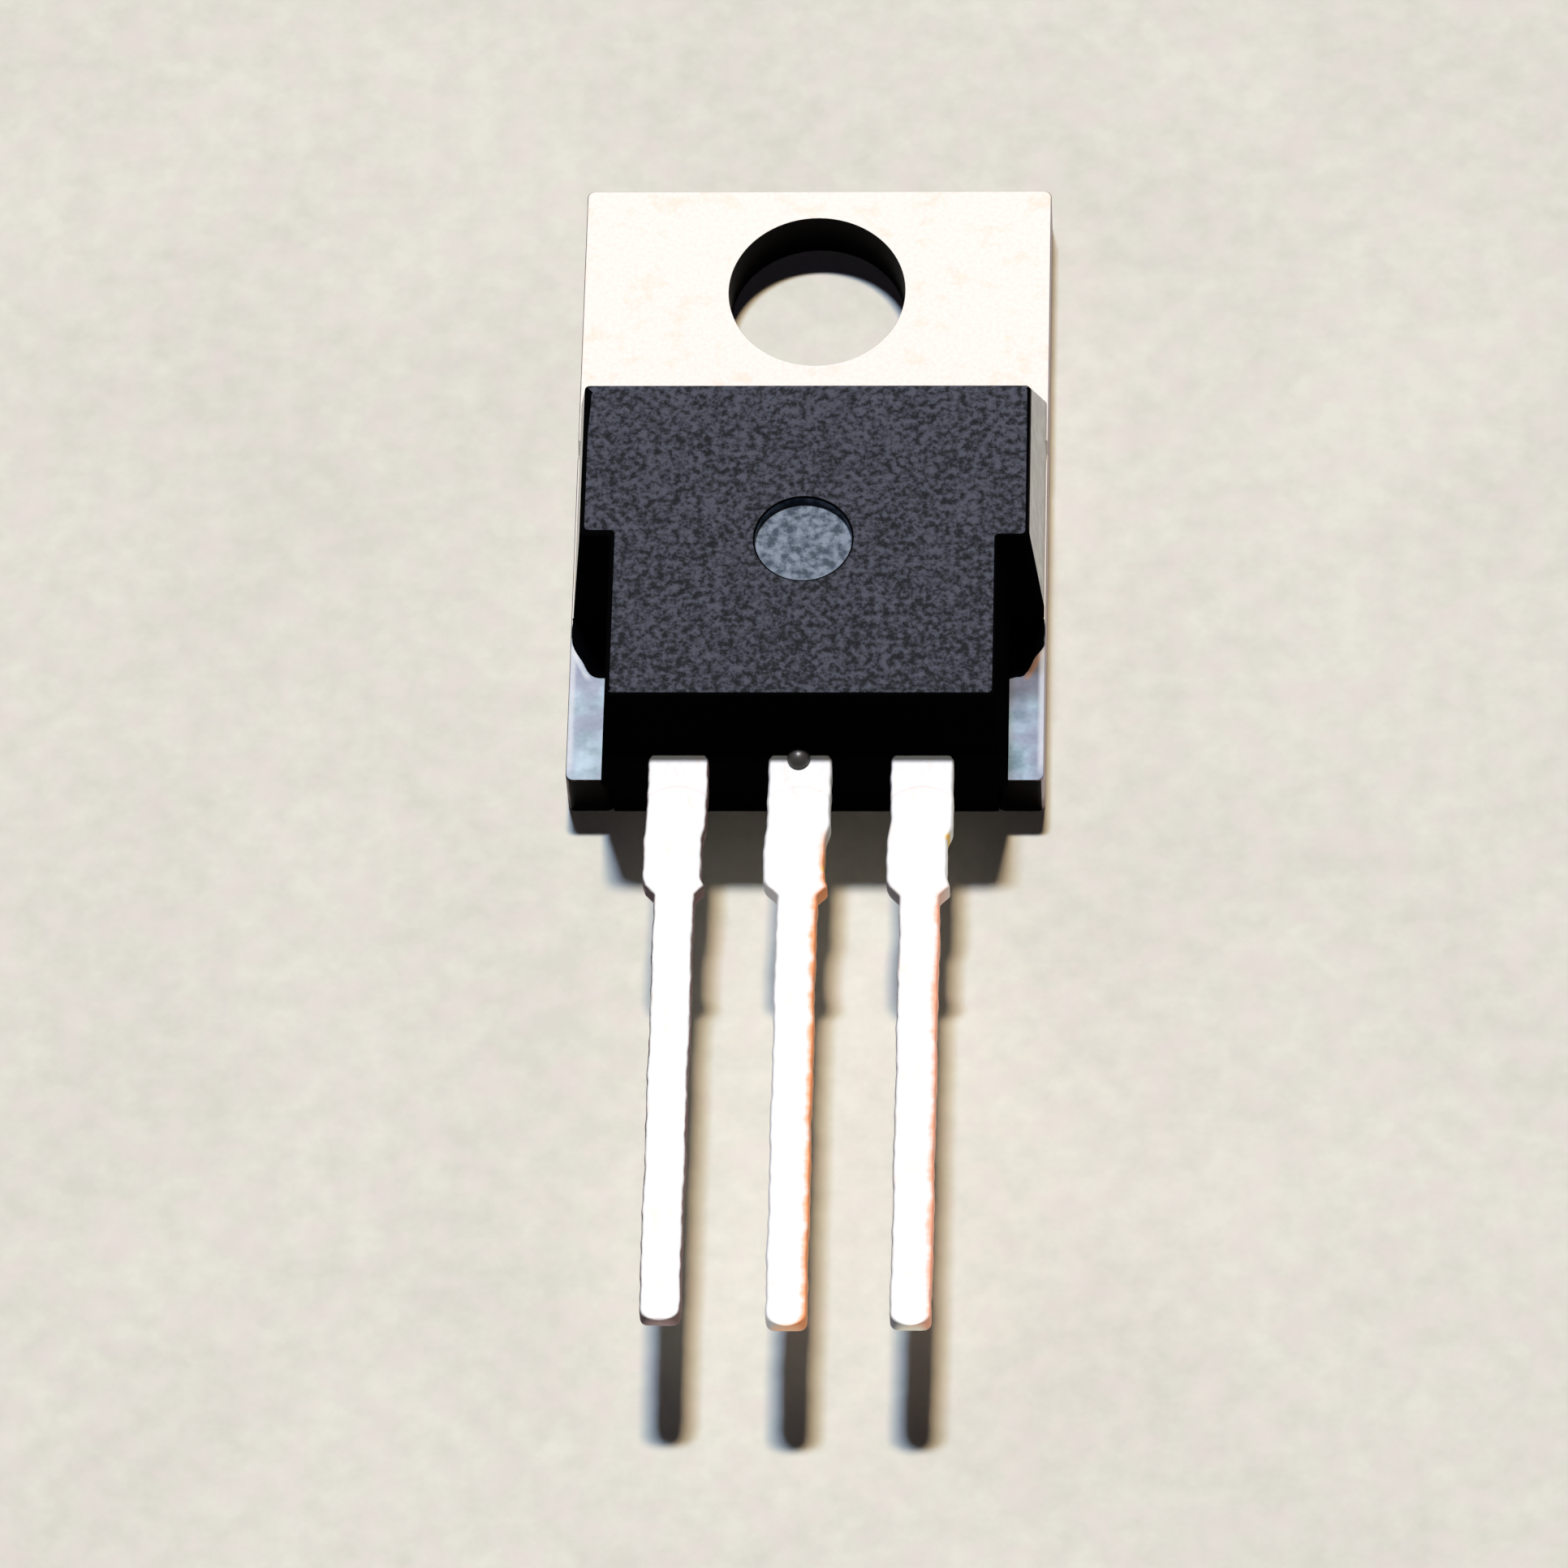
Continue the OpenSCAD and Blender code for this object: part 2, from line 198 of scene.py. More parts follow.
def shellMesh(name, rings, materials, bands=0, joined=False, sharp=32.0, marks=None):
    # A closed surface through rings of points, each ring closed on itself. The two ends run to a point in
    # their middle, or the last ring joins the first. bands gives the material of each strip between two
    # rings, or of each of its faces, and marks are numbers that the points carry
    count, around = rings.shape[:2]
    points = rings.reshape(-1, 3)
    strips = count if joined else count - 1
    i, j = np.meshgrid(np.arange(strips), np.arange(around), indexing="ij")
    ahead, beside = (i + 1) % count, (j + 1) % around
    quads = np.stack([i * around + j, i * around + beside, ahead * around + beside, ahead * around + j], 2)
    quads = quads.reshape(-1, 4)
    bands = np.asarray(bands)
    bands = np.broadcast_to(bands if bands.ndim == 2 else bands.reshape(-1, 1), (strips, around))
    kinds = bands.ravel()
    marks = {key: np.broadcast_to(value, (count, around)) for key, value in (marks or {}).items()}
    numbers = {key: value.ravel() for key, value in marks.items()}
    triangles = np.zeros((0, 3), int)
    if not joined:
        points = np.vstack([points, rings[0].mean(0), rings[-1].mean(0)])
        k = np.arange(around)
        low = np.stack([(k + 1) % around, k, np.full(around, len(points) - 2)], 1)
        high = np.stack([(count - 1) * around + k, (count - 1) * around + (k + 1) % around,
                         np.full(around, len(points) - 1)], 1)
        triangles = np.vstack([low, high])
        kinds = np.concatenate([kinds, bands[0], bands[-1]])
        numbers = {key: np.concatenate([v.ravel(), [v[0].mean(), v[-1].mean()]]) for key, v in marks.items()}
    soup = np.vstack([quads[:, [0, 1, 2]], quads[:, [0, 2, 3]], triangles])
    a, b, c = (points[soup[:, k]] for k in range(3))
    if np.einsum("ij,ij->i", a, np.cross(b, c)).sum() < 0:  # turned inside out
        quads, triangles = quads[:, ::-1], triangles[:, ::-1]
    mesh = bpy.data.meshes.new(name)
    mesh.from_pydata(points * mm, [], quads.tolist() + triangles.tolist())
    mesh.polygons.foreach_set("material_index", kinds.astype(np.int32))
    mesh.polygons.foreach_set("use_smooth", np.ones(len(mesh.polygons), bool))
    mesh.set_sharp_from_angle(angle=math.radians(sharp))
    for key, values in numbers.items():
        mesh.attributes.new(key, "FLOAT", "POINT").data.foreach_set("value", values.astype(np.float32))
    for material in materials:
        mesh.materials.append(material)
    mesh.update()
    piece = bpy.data.objects.new(name, mesh)
    bpy.context.scene.collection.objects.link(piece)
    return piece


def standFor(piece, node):
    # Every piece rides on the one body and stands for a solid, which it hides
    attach(piece, "root")
    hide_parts(node)


# Floor and light

floorLook = dict(low=(0.728, 0.724, 0.628), high=(0.834, 0.830, 0.720), patchesPerMm=0.12, flecksPerMm=1.5,
                 warm=(0.82, 0.755, 0.70), half=3000.0, drop=0.01)


def floorFinish(tree):
    # Broad and fine noise, half each, between a low and a high paper colour, with faint pink flecks
    s = floorLook
    cloudy = grain(tree, s["patchesPerMm"], 4.0, 0.6)
    flecks = grain(tree, s["flecksPerMm"], 3.0, 0.6)
    both = sums(tree, "MULTIPLY_ADD", cloudy, 0.5, sums(tree, "MULTIPLY", flecks, 0.5))
    plain = ramp(tree, both, (0.38, s["low"]), (0.62, s["high"]))
    pink = ramp(tree, grain(tree, s["flecksPerMm"] * 0.7, 3.0, 0.6, shift=9.0), (0.45, 0.0), (0.7, 0.6))
    return {"Base Color": mixed(tree, pink, plain, s["warm"])}


def makeFloor(s):
    # A flat square a hair below the part
    x = np.array([[-1, -1], [1, -1], [1, 1], [-1, 1]]) * s["half"]
    mesh = bpy.data.meshes.new("floor")
    mesh.from_pydata(np.column_stack([x, np.full(4, -s["drop"])]) * mm, [], [(0, 1, 2, 3)])
    mesh.materials.append(finish("floorPaper", floorFinish, Roughness=1.0, Specular_IOR_Level=0.0))
    floor = bpy.data.objects.new("floor", mesh)
    bpy.context.scene.collection.objects.link(floor)


lightSet = dict(elevation=64.4, azimuth=-4.7, spread=3.1, size=3.8, power=1.10,
                colours=[(0.72, 0.92, 1.32), (1.0, 1.02, 1.0), (1.32, 1.02, 0.72)],
                fill=0.016, gloss=0.33, paper=(0.775, 0.745, 0.675), room=(0.69, 0.56, 1.0))


def makeLight(s):
    # A long soft lamp behind the part, as three suns side by side from cool to warm, and a dim even room
    for number, colour in enumerate(s["colours"]):
        data = bpy.data.lights.new(f"lamp{number}", "SUN")
        data.energy, data.angle, data.color = s["power"], math.radians(s["size"]), colour
        lamp = bpy.data.objects.new(f"lamp{number}", data)
        e = math.radians(s["elevation"])
        a = math.radians(s["azimuth"] + (number - 1) * s["spread"] / math.cos(e))
        back = np.array([math.sin(a) * math.cos(e), math.cos(a) * math.cos(e), math.sin(e)])
        side = np.cross([0, 0, 1], back)
        side /= np.linalg.norm(side)
        up = np.cross(back, side)
        turned = [[side[k], up[k], back[k], back[k] * 0.5] for k in range(3)]
        lamp.matrix_world = Matrix(turned + [[0, 0, 0, 1]])
        bpy.context.scene.collection.objects.link(lamp)
    world = bpy.data.worlds.new("room")
    world.use_nodes = True
    tree = world.node_tree
    path = addNode(tree, "ShaderNodeLightPath").node
    seen = sums(tree, "MAXIMUM", path.outputs["Is Camera Ray"], path.outputs["Is Transmission Ray"])
    shine = sums(tree, "MULTIPLY", path.outputs["Is Glossy Ray"], s["gloss"] - s["fill"])
    strength = sums(tree, "MAXIMUM", sums(tree, "ADD", s["fill"], shine), seen)
    sky = tree.nodes["Background"]
    shown = sums(tree, "MAXIMUM", seen, path.outputs["Is Glossy Ray"])
    tree.links.new(mixed(tree, shown, s["room"], s["paper"]), sky.inputs["Color"])
    tree.links.new(strength, sky.inputs["Strength"])
    bpy.context.scene.world = world


makeFloor(floorLook)
makeLight(lightSet)
print("floor and light made")


# Moulded body

bodySize = dict(tabTop=1.27, frontZ=4.45, partingZ=2.92, footHalf=5.04, waistHalf=4.32, sideDraft=5.3,
                notchDraft=4.1, notchEndDraft=2.5, footY=-2.84, footSlope=27.8, notchY=-8.45,
                leadEndY=-12.81, endSlope=20.0, underDraft=7.0, gapHalf=4.1, gapY=-10.84, cornerR=0.1,
                edgeR=0.075, bottomR=0.03, pitR=1.03, pitDepth=0.2, pitY=-8.385, rimR=0.03, flash=0.02,
                flashHalf=0.05, lineIn=0.07, lineShift=0.05, lineY=-4.7, lineFade=1.3)
bodyLook = dict(dark=(0.004, 0.005, 0.009), light=(0.067, 0.074, 0.101), grainPerMm=6.5, grainDepth=0.016,
                pitDark=(0.030, 0.054, 0.085), pitLight=(0.225, 0.278, 0.345),
                # wall is the compound's colour darkened into painted shade
                wall=(0.0020, 0.0020, 0.0024), side=(0.050, 0.042, 0.043))
faceKind, shadeKind, pitKind, sideKind = range(4)  # the body's finishes, in their order


def slope(degrees):
    # Sideways change for each unit of height
    return math.tan(math.radians(degrees))


def leadEnd(z):
    # The end wall leans back over the parting plane and under it
    s = bodySize
    over = z - s["partingZ"]
    return s["leadEndY"] + np.where(over > 0, over * slope(s["endSlope"]), -over * slope(s["underDraft"]))


def bodyCorners(z, inset):
    # Eight corners of the body's outline at each height: half widths and places along the part, drawn in by
    # their draft times the height over the tab, and by the inset
    s = bodySize
    up = z - s["tabTop"]
    foot = s["footHalf"] - up * slope(s["sideDraft"]) - inset
    waist = s["waistHalf"] - up * slope(s["notchDraft"]) - inset
    top = s["footY"] - up * slope(s["footSlope"]) - inset
    notch = s["notchY"] + up * slope(s["notchEndDraft"]) + inset
    low = leadEnd(z) + inset
    x = np.stack([waist, waist, foot, foot, -foot, -foot, -waist, -waist], 1)
    y = np.stack([low, notch, notch, top, top, notch, notch, low], 1)
    return np.stack([x, y], 2)


def gapCorners(z, inset):
    # Below the tab's upper face the body is a block between the ears, with the same eight corners
    s = bodySize
    half, top, low = s["gapHalf"] - inset, s["gapY"] - inset, leadEnd(z) + inset
    x = np.stack([half] * 4 + [-half] * 4, 1)
    y = np.stack([low, top - 0.3, top - 0.15, top, top, top - 0.15, top - 0.3, low], 1)
    return np.stack([x, y], 2)


def ledgeCorners():
    # On the tab's upper face the underside first runs up beside the long notch walls, clear of the notches
    s = bodySize
    half, notch = s["gapHalf"] + 0.1, s["notchY"]
    y = [leadEnd(np.array(s["tabTop"])), notch - 0.15, notch + 0.15, notch + 2.4]
    return np.stack([[half] * 4 + [-half] * 4, y + y[::-1]], 1)[None]


def bodyRings():
    # From the middle of the underside up the walls, over the edge, across the face and down into the pit
    s = bodySize
    arcPoints, edgePoints = 7, 21
    each = arcPoints + edgePoints
    turn = np.linspace(0, math.pi / 2, 6)
    r = s["bottomR"]
    lowZ = np.concatenate([r * (1 - np.cos(turn)), [0.3, 0.7, s["tabTop"]]])
    lowIn = np.concatenate([r * (1 - np.sin(turn)), [0, 0, 0]])
    smallR = [0.05, 0.04, 0.04, 0.03, 0.03, 0.04, 0.04, 0.05]
    lowest = roundedOutline(gapCorners(lowZ, lowIn), smallR, arcPoints, edgePoints)
    ledge = roundedOutline(ledgeCorners(), 0.03, arcPoints, edgePoints)
    wall = s["tabTop"] + np.array([0, 0.02, 0.5, 1.0, 1.4])
    ridge = s["partingZ"] + s["flashHalf"] * np.array([-1, -0.5, -0.2, 0, 0.2, 0.5, 1])
    r = s["edgeR"]
    upper = np.array([3.2, 3.6, 4.0, s["frontZ"] - r - 0.02])
    edgeZ = s["frontZ"] - r + r * np.sin(turn)
    straight = len(wall) + len(ridge) + len(upper)
    z = np.concatenate([wall, ridge, upper, edgeZ, [s["frontZ"]] * 2])
    inset = np.concatenate([np.zeros(straight), r * (1 - np.cos(turn)), [r + 0.015, r + s["lineIn"]]])
    wallRings = roundedOutline(bodyCorners(z, inset), s["cornerR"], arcPoints, edgePoints)
    # The flash along the parting line crosses the lead end only
    near = smoothStep(1 - (wallRings[:, :, 1] - leadEnd(z)[:, None]) / 0.12)
    proud = s["flash"] * np.clip(1 - np.abs(z - s["partingZ"]) / s["flashHalf"], 0, 1)
    wallRings[:, :, 1] -= near * proud[:, None]
    # The line of painted shade inside the left edge narrows away from the mounting hole
    last = wallRings[-1]
    last[:, 0] -= s["lineShift"] * (last[:, 0] < 0) * smoothStep((s["lineY"] - last[:, 1]) / s["lineFade"])
    around = wallRings.shape[1]
    corner = np.arange(9) * each + arcPoints / 2
    bearings = np.array([-130, -50, 8, 18, 55, 125, 162, 172, 230, 310.0])
    angle = np.radians(np.interp(np.arange(around), np.concatenate([[corner[7] - around], corner]), bearings))
    circle = np.stack([np.cos(angle), np.sin(angle)], 1)
    r = s["rimR"]
    rimIn = np.concatenate([[s["pitR"] + r + 0.01], s["pitR"] + r * (1 - np.sin(turn))])
    rimZ = np.concatenate([[s["frontZ"]], s["frontZ"] - r * (1 - np.cos(turn))])
    floorZ = s["frontZ"] - s["pitDepth"]
    footIn = np.concatenate([s["pitR"] - r * (1 - np.cos(turn)), s["pitR"] * np.array([0.95, 0.7, 0.4, 0.1])])
    footZ = np.concatenate([floorZ + r * (1 - np.sin(turn)), np.full(4, floorZ)])
    pitRadius, pitZ = np.concatenate([rimIn, footIn]), np.concatenate([rimZ, footZ])
    pitRings = circle[None] * pitRadius[:, None, None] + np.array([0, s["pitY"]])
    share = np.array([0.3, 0.6, 0.85])[:, None, None]
    faceRings = wallRings[-1] * (1 - share) + pitRings[0] * share
    rings = np.concatenate([withHeight(lowest, lowZ), withHeight(ledge, s["tabTop"]),
                            withHeight(wallRings, z), withHeight(faceRings, s["frontZ"]),
                            withHeight(pitRings, pitZ)])
    low = len(lowest) + 1
    edge = low + straight  # the first strip of the round upper edge
    past = edge + len(turn) - 1  # the first strip past that edge
    pit = low + len(wallRings) + len(faceRings)
    bands = np.full((len(rings) - 1, around), faceKind)
    # Everything below the round upper edge, the edge too, takes the compound's painted shade
    bands[:past - 1] = shadeKind
    bands[past - 1:past + 2, 4 * each + 3:7 * each + 3] = shadeKind  # a line of painted shade inside the left edge
    bands[low:edge, 2 * each + arcPoints:3 * each + 2] = sideKind  # right side wall
    bands[low:edge, 4 * each + 3:5 * each] = sideKind  # left side wall
    bands[low:past, 3 * each + 3:4 * each + 3] = faceKind  # wall towards the mounting hole
    bands[pit:pit + 6] = shadeKind  # the pit's wall, in painted shade
    bands[pit + 6:] = pitKind
    return rings, bands


def epoxyFace(tree):
    # Fine noise with some broad noise, from dark to light, a little lighter towards the mounting hole
    s = bodyLook
    fine = grain(tree, s["grainPerMm"], 5.0, 0.68)
    patches = grain(tree, 1.6, 3.0, 0.6, shift=3.0)
    both = sums(tree, "MULTIPLY_ADD", fine, 0.82, sums(tree, "MULTIPLY", patches, 0.18))
    both = sums(tree, "ADD", both, spread(tree, place(tree, "Y"), -12.0, -4.0, -0.016, 0.010))
    colour = ramp(tree, both, (0.43, s["dark"]), (0.57, s["light"]))
    return {"Base Color": colour, "Roughness": spread(tree, fine, 0.3, 0.7, 0.78, 0.62),
            "Normal": raised(tree, fine, s["grainDepth"])}


def epoxyShade(tree):
    # Nearly black, with noise drawn out along the height: the compound's colour darkened into painted shade
    fine = grain(tree, bodyLook["grainPerMm"], 3.0, 0.5, stretch=(1, 1, 0.5))
    return {"Base Color": mixed(tree, fine, bodyLook["wall"], (0.002, 0.002, 0.0025)),
            "Normal": raised(tree, fine, 0.004)}


def epoxySide(tree):
    # Dark and smooth, and its shine fades out below the round upper edge
    fine = grain(tree, 4.0, 3.0, 0.5, stretch=(1, 1, 0.5), shift=2.0)
    return {"Base Color": mixed(tree, fine, bodyLook["side"], (0.030, 0.025, 0.026)),
            "Specular IOR Level": spread(tree, place(tree, "Z"), 3.8, 4.15, 0.95, 0.0),
            "Roughness": spread(tree, fine, 0.3, 0.7, 0.15, 0.24), "Normal": raised(tree, fine, 0.003)}


def epoxyPit(tree):
    # Noise between two blue greys, much lighter than the face: painted sheen of the pit's smoother floor
    s = bodyLook
    fine = grain(tree, 5.0, 3.0, 0.6, shift=1.0)
    return {"Base Color": ramp(tree, fine, (0.39, s["pitDark"]), (0.61, s["pitLight"])),
            "Normal": raised(tree, fine, 0.006)}


bodyFinishes = [finish("epoxyFace", epoxyFace, Specular_IOR_Level=0.22),
                finish("epoxyShade", epoxyShade, Roughness=0.9, Specular_IOR_Level=0.0),
                finish("epoxyPit", epoxyPit, Roughness=0.6, Specular_IOR_Level=0.25),
                finish("epoxySide", epoxySide)]
rings, bands = bodyRings()
standFor(shellMesh("mouldedShell", rings, bodyFinishes, bands), "moulded_body")

nubSize = dict(radius=0.25, x=-0.05, out=0.11, around=40, tall=24)


def nubRings(s):
    # A ball about the point where the middle lead leaves the body, its radius rippled a little with angle
    tilt = np.linspace(0.03, math.pi - 0.03, s["tall"])[:, None]
    turn = np.linspace(0, 2 * math.pi, s["around"], endpoint=False)[None]
    r = s["radius"] * (0.985 + 0.012 * np.sin(3 * turn + 1) * np.sin(tilt) ** 2)
    y = bodySize["leadEndY"] - s["out"] + r * np.sin(tilt) * np.sin(turn)
    return np.stack([s["x"] + r * np.sin(tilt) * np.cos(turn), y,
                     bodySize["partingZ"] + r * np.cos(tilt) * np.ones_like(turn)], 2)


def glossyNub(tree):
    # Noise between two dark greys
    return {"Base Color": mixed(tree, grain(tree, 6.0), (0.02, 0.019, 0.018), (0.07, 0.066, 0.06))}


nubFinish = finish("glossyNub", glossyNub, Roughness=0.4, Specular_IOR_Level=0.9)
standFor(shellMesh("gateNub", nubRings(nubSize), [nubFinish]), "moulded_body")

grooveSize = dict(y=-4.11, half=0.25, depth=0.2, endX=5.02, showX=4.5, fadeZ=0.9)


def grooveRings(s):
    # A three sided bar across the part that fills the tab's locking groove
    x = np.array([-1, -0.98, 0.98, 1])[:, None] * s["endX"]
    side = np.linspace(0, 1, 6)
    y = s["y"] + s["half"] * np.concatenate([side - 1, side[1:], 1 - 2 * side[1:-1]])
    down, rise = -s["depth"] * side, -s["depth"] * (1 - side[1:])
    z = bodySize["tabTop"] + np.concatenate([down, rise, 0 * side[1:-1]])
    return np.stack([x + 0 * y, y + 0 * x, z + 0 * x], 2)


# The fill takes the compound's painted shade
standFor(shellMesh("grooveFill", grooveRings(grooveSize), [bodyFinishes[shadeKind]]), "moulded_body")

# Thin black sheet on each ear at the foot of the notch's end wall, in the shape of the shadow that the body
# casts there: painted shadow, drawn as compound. The distance out from its slanted rim is rimX times the half
# width less rimY times the place along the part and rimOut
shadowSheetSize = dict(innerX=4.24, outerX=5.06, wallY=-8.40, kneeY=-9.03, slantX=4.62, slantY=-9.85, tipY=-9.92,
                lowZ=1.262, thick=0.022, ripple=0.012, rimX=0.905, rimY=0.425, rimOut=8.354)


def shadowSheetRings(s, side):
    # A flat patch with five corners and a round upper edge; its rim wanders by sines of its place
    corners = np.array([[s["innerX"], s["wallY"]], [s["outerX"], s["wallY"]], [s["outerX"], s["kneeY"]],
                        [s["slantX"], s["slantY"]], [s["innerX"], s["tipY"]]]) * (side, 1)
    flat = roundedOutline(corners[None], [0.03, 0.01, 0.06, 0.08, 0.03], 7, 16)[0]
    middle = flat.mean(0)
    flat = flat + s["ripple"] * np.stack([np.sin(flat[:, 1] * 13 + side), np.sin(flat[:, 0] * 17 + side)], 1)
    flat[:, 0] = np.clip(flat[:, 0], -s["outerX"], s["outerX"])
    height = s["lowZ"] + np.array([0, 0.6, 0.85, 1, 1, 1]) * (s["thick"] + bodySize["tabTop"] - s["lowZ"])
    inward = np.array([0, 0, 0.01, 0.025, 0.3, 0.7])
    way = (middle - flat) / np.linalg.norm(middle - flat, axis=1, keepdims=True)
    reach = np.where(inward < 0.1, inward, 0)[:, None, None] * way
    share = np.where(inward < 0.1, 0, inward)[:, None, None] * (middle - flat)
    return withHeight(flat + reach + share, height)


# The two sheets are painted shadow of the body on the ears
for name, side in (("notchShadowSheetLeft", -1), ("notchShadowSheetRight", 1)):
    standFor(shellMesh(name, shadowSheetRings(shadowSheetSize, side), [bodyFinishes[shadeKind]]), "moulded_body")
print("body made")


# Heat sink tab

tabSize = dict(half=5.08, freeY=2.64, earY=-12.44, gapHalf=4.1, gapY=-10.84, thick=1.27, cornerR=0.15,
               holeR=1.92, rollR=0.035, burrR=0.02, rimR=0.015, innerX=4.75, innerTop=2.3, innerLow=-10.5)
tabLook = dict(tin=(0.79, 0.768, 0.735), blush=(0.80, 0.70, 0.60), earLeft=(0.60, 0.71, 0.78),
               earLeftDark=(0.42, 0.52, 0.57), earRight=(0.50, 0.63, 0.70), earRightDark=(0.27, 0.37, 0.43),
               lilac=(0.46, 0.46, 0.58), warmFringe=(0.46, 0.31, 0.24), pale=(0.74, 0.76, 0.79),
               bodyShade=(0.25, 0.23, 0.28), sheared=(0.035, 0.024, 0.026), worn=(0.30, 0.22, 0.23),
               rightEdgeSheen=(0.42, 0.33, 0.365), bore=(0.001, 0.001, 0.001))
# Where the marks on the ears begin and end: along the part, but streakOut from the shadow sheet's rim and
# stripX across
earSpots = dict(ear=(-14.0, -8.6), bodyShade=(-10.45, -8.6), streak=(-9.9, -9.15), streakOut=(0.03, 0.15),
                strip=(-12.2, -9.05), stripX=(4.95, 5.2))
topKind, edgeKind, boreKind = range(3)  # the tab's finishes, in their order


def tabRings():
    # Round the plate's section: up the hole's wall, out over the face, down the outer wall and back under
    s = tabSize
    g = grooveSize
    arcPoints, edgePoints = 6, 14
    each = arcPoints + edgePoints
    h, e, f, gh, gy = s["half"], s["earY"], s["freeY"], s["gapHalf"], s["gapY"]
    v = np.array([g["y"] - g["half"], g["y"], g["y"] + g["half"]])
    corners = np.array([[gh, e], [h, e], [h, v[0]], [h, v[1]], [h, v[2]], [h, f], [-h, f], [-h, v[2]],
                        [-h, v[1]], [-h, v[0]], [-h, e], [-gh, e], [-gh, gy], [gh, gy]])
    way = np.array([[1, 1], [-1, 1], [-1, 0], [-1, 0], [-1, 0], [-1, -1], [1, -1], [1, 0], [1, 0], [1, 0],
                    [1, 1], [-1, 1], [-1, -1], [1, -1]], float)  # the way in from each corner
    c, m, n = s["cornerR"], 0.05, 0.01  # round of an outer corner, of an inner one and of a plain point
    radius = np.array([c, c, n, n, n, c, c, n, n, n, c, c, 0.03, 0.03])
    ix, it, il = s["innerX"], s["innerTop"], s["innerLow"]
    inner = np.array([[gh + 0.35, il], [ix, il], [ix, v[0]], [ix, v[1]], [ix, v[2]], [ix, it], [-ix, it],
                      [-ix, v[2]], [-ix, v[1]], [-ix, v[0]], [-ix, il], [-gh - 0.35, il], [-gh, il],
                      [gh, il]])
    innerRadius = np.array([n, m, n, n, n, m, m, n, n, n, m, n, n, n])
    turn = np.linspace(0, math.pi / 2, 6)
    t, b, k = s["rollR"], s["burrR"], s["thick"]
    # Outer wall from the upper face down: inset and height
    inset = np.concatenate([[t + 0.015], t * (1 - np.sin(turn)), [0, 0, 0], b * (1 - np.cos(turn)),
                            [b + 0.01]])
    height = np.concatenate([[k], k - t * (1 - np.cos(turn)), [1.0, 0.6, 0.25], b * (1 - np.sin(turn)), [0]])
    outer = roundedOutline(corners[None] + way[None] * inset[:, None, None], radius, arcPoints, edgePoints)
    middle = roundedOutline(inner[None], innerRadius, arcPoints, edgePoints)
    outerZ = np.broadcast_to(height[:, None], outer.shape[:2]).copy()
    cut = g["depth"] * np.clip(1 - np.abs(outer[:, :, 1] - g["y"]) / g["half"], 0, 1)
    fade = smoothStep((outerZ - g["fadeZ"]) / (k - g["fadeZ"] - t))
    outerZ -= cut * (np.abs(outer[:, :, 0]) > g["showX"]) * fade
    around = outer.shape[1]
    corner = np.arange(15) * each + arcPoints / 2
    corner = np.concatenate([[corner[13] - around], corner])
    bearings = np.array([-66, -58, -50, -28, -24, -20, 45, 135, 200, 204, 208, 230, 238, 246, 294, 302.0])
    angle = np.radians(np.interp(np.arange(around), corner, bearings))
    circle = np.stack([np.cos(angle), np.sin(angle)], 1)
    rim = s["rimR"]
    holeR = np.concatenate([[s["holeR"] + rim + 0.01], s["holeR"] + rim * (1 - np.sin(turn))])
    upZ = np.concatenate([[k], k - rim * (1 - np.cos(turn))])
    lowRim = np.concatenate([s["holeR"] + b * (1 - np.cos(turn)), [s["holeR"] + b + 0.01]])
    lowZ = np.concatenate([b * (1 - np.sin(turn)), [0]])

    def holeRings(radii, z):
        # Circles about the hole's axis at their heights
        return withHeight(circle[None] * np.asarray(radii)[:, None, None], z)

    halfway = middle * 0.5 + circle[None] * s["holeR"] * 0.525
    rings = np.concatenate([
        holeRings(s["holeR"] * np.ones(3), np.array([0.3, 0.7, 1.1])),
        holeRings(holeR[::-1], upZ[::-1]),
        withHeight(halfway, k), withHeight(middle, k),
        np.concatenate([outer, outerZ[:, :, None]], 2),
        withHeight(middle, 0), withHeight(halfway, 0),
        holeRings(lowRim[::-1], lowZ[::-1])])
    bands = np.full((len(rings), around), topKind)
    bands[:6] = boreKind  # hole's wall and the first of its rolled rim, in painted shade
    bands[-7:] = boreKind
    first = 3 + 7 + 2  # the outer wall's first ring
    bands[first + 3:first + 16] = edgeKind
    low, ear = bands[first + 5:first + 16], 10 * each
    low[:, :each + 2] = boreKind  # right ear's end, in painted shade
    low[:, ear + 3:] = boreKind  # left ear's end and the gap between the ears, in painted shade
    return rings, bands


